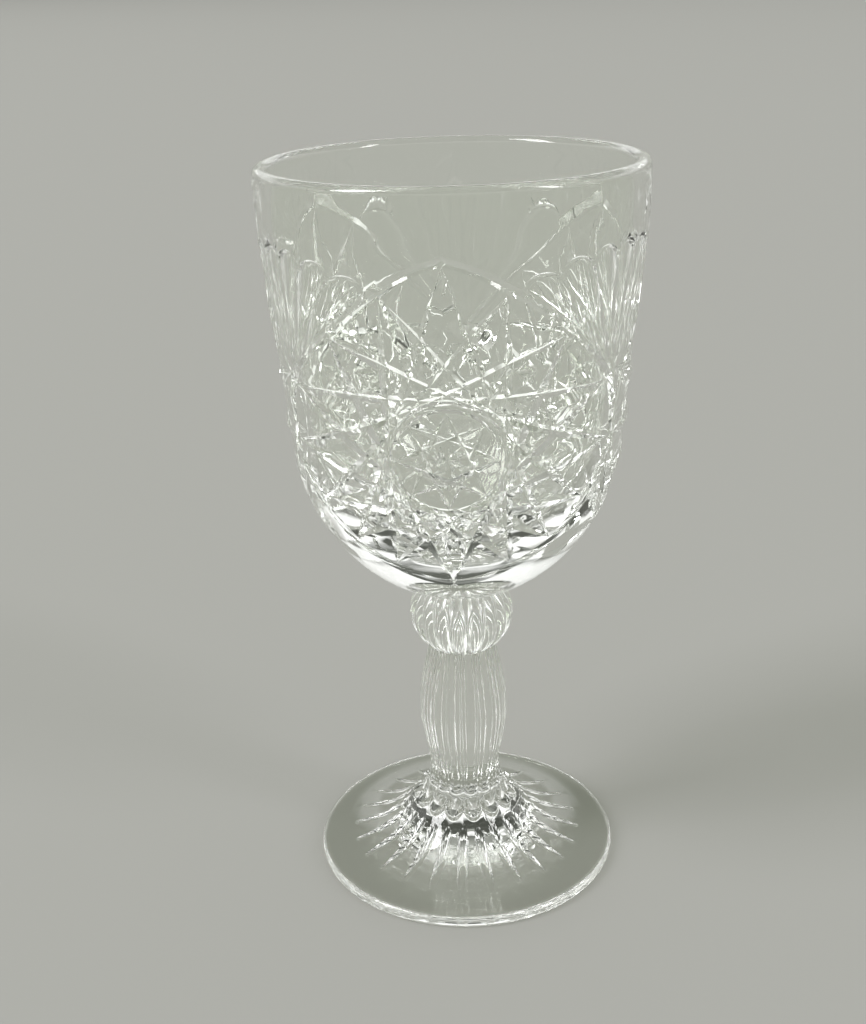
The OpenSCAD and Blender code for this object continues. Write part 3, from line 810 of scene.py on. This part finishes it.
def makeBowl():
    parts = []
    for i in range(starSizes["count"]):
        a = 2 * math.pi * i / starSizes["count"]
        parts.append((turned(medallionPoints, a), planFaces))
        parts.append((turned(fieldPoints, a), fieldFaces))
        parts.append((turned(fieldPoints * [-1, 1, 1], a), [f[::-1] for f in fieldFaces]))
    count = bowlSizes["columns"]
    lipArc = np.radians(np.linspace(0, 180, bowlSizes["lipSteps"] + 1))
    lip = [(rimR - lipR + lipR * math.cos(a), topZ - lipR + lipR * math.sin(a)) for a in lipArc]
    cavityZ = bowlZ + bowlSizes["floor"]
    inside = cupOutline(cupR - bowlSizes["cupWall"], middleZ - cavityZ, middleZ, cavityZ,
                        rimR - bowlSizes["rimWall"], bandZ, bowlSizes["insideSteps"])
    profile = lip + [tuple(p) for p in inside[::-1][:-1]]
    parts.append(stackRings([ring(r, z, count) for r, z in profile], ["high"]))
    seam = bowlSizes["seam"]
    base = [ring(r, bowlZ, count) for r in (seam / 2, seam, bowlSizes["base"] / 2)]
    parts.append(stackRings(base, ["low"]))
    points, faces, start = [], [], 0
    for p, f in parts:
        points.append(p)
        faces += [tuple(int(v) + start for v in g) for g in f]
        start += len(p)
    addPiece("pressedBowl", np.concatenate(points), faces, bowlGlass,
             lambda r, z: z < bowlZ + touching and r < seam, bowlSizes["crease"], ["bowl"])


for make in (makeBowl, makeKnop, makeStem, makeCollar, makeFoot):
    make()
print("goblet made")

# studio: a pale floor that runs to the horizon, a bright white screen low down all round, which
# lights the edges of the glass, a dark one above it, and two tall soft lamps, so far off that the
# floor is lit evenly
studio = {
    "floor": "#AAAAA5",
    "reach": 40.0, "squares": 16, "drop": 0.00005,   # m to its edges, its mesh, and m below the foot
    # colour of the surroundings by the sine of the height above the horizon, and their strength;
    # the first two are the floor's tone at that strength
    "surroundings": [(0.0, "#9F9F9A"), (0.15, "#9F9F9A"), (0.24, "#FFFFFF"), (0.42, "#FFFFFF"),
                     (0.50, "#42443F"), (0.68, "#42443F"), (0.80, "#8A8C87"), (1.0, "#9A9C97")],
    "sky": 1.25,
    "aim": (0, 0, 0.09),   # what the lamps shine at
    "key": {"size": (15.0, 33.0), "at": (-36.0, -17.0, 36.0), "power": 23000.0},
    "fill": {"size": (7.0, 27.0), "at": (38.0, -19.0, 26.0), "power": 7000.0},
}


def addFloor():
    mesh = bpy.data.meshes.new("studioFloor")
    reach, n = studio["reach"], studio["squares"]
    side = np.linspace(-reach, reach, n + 1)
    points = [(x, y, -studio["drop"]) for y in side for x in side]
    corners = [j * (n + 1) + i for j in range(n) for i in range(n)]
    faces = [(c, c + 1, c + n + 2, c + n + 1) for c in corners]
    mesh.from_pydata(points, [], faces)
    floor = bpy.data.objects.new("studioFloor", mesh)
    bpy.context.collection.objects.link(floor)
    material = bpy.data.materials.new("matteFloorPaint")
    material.use_nodes = True
    tree = material.node_tree
    tree.nodes.clear()
    paint = addNode(tree, "ShaderNodeBsdfPrincipled", {
        "Base Color": linearColour(studio["floor"]), "Roughness": 0.9, "Specular IOR Level": 0.2})
    addNode(tree, "ShaderNodeOutputMaterial", {"Surface": paint.outputs["BSDF"]})
    mesh.materials.append(material)


def addLamp(name, lamp):
    data = bpy.data.lights.new(name, "AREA")
    data.shape = "RECTANGLE"
    data.size, data.size_y = lamp["size"]
    data.energy = lamp["power"]
    light = bpy.data.objects.new(name, data)
    bpy.context.collection.objects.link(light)
    spot = np.array(lamp["at"])
    aim = np.array(studio["aim"]) - spot
    aim = aim / np.linalg.norm(aim)
    back = -aim
    across = np.cross([0, 0, 1], back)
    across = across / np.linalg.norm(across)
    upright = np.cross(back, across)
    rows = [[across[i], upright[i], back[i], spot[i]] for i in range(3)]
    light.matrix_world = Matrix(rows + [[0, 0, 0, 1]])


def addSky():
    world = bpy.data.worlds.new("studioSky")
    bpy.context.scene.world = world
    world.use_nodes = True
    tree = world.node_tree
    tree.nodes.clear()
    place = addNode(tree, "ShaderNodeTexCoord")
    parts = addNode(tree, "ShaderNodeSeparateXYZ", {"Vector": place.outputs["Generated"]})
    ramp = addNode(tree, "ShaderNodeValToRGB", {"Fac": parts.outputs["Z"]})
    steps = ramp.color_ramp.elements
    for i, (height, colour) in enumerate(studio["surroundings"]):
        step = steps[i] if i < 2 else steps.new(height)
        step.position, step.color = height, linearColour(colour)
    sky = addNode(tree, "ShaderNodeBackground", {
        "Color": ramp.outputs["Color"], "Strength": studio["sky"]})
    addNode(tree, "ShaderNodeOutputWorld", {"Surface": sky.outputs["Background"]})


addFloor()
for name in ("key", "fill"):
    addLamp(name + "Softbox", studio[name])
addSky()
scene = bpy.context.scene
scene.view_settings.view_transform = "Standard"
bounces = 32   # light is caught many times inside thick cut glass before it leaves
scene.cycles.max_bounces = bounces
scene.cycles.glossy_bounces = bounces
scene.cycles.transmission_bounces = bounces
scene.cycles.transparent_max_bounces = bounces
print("studio lit")
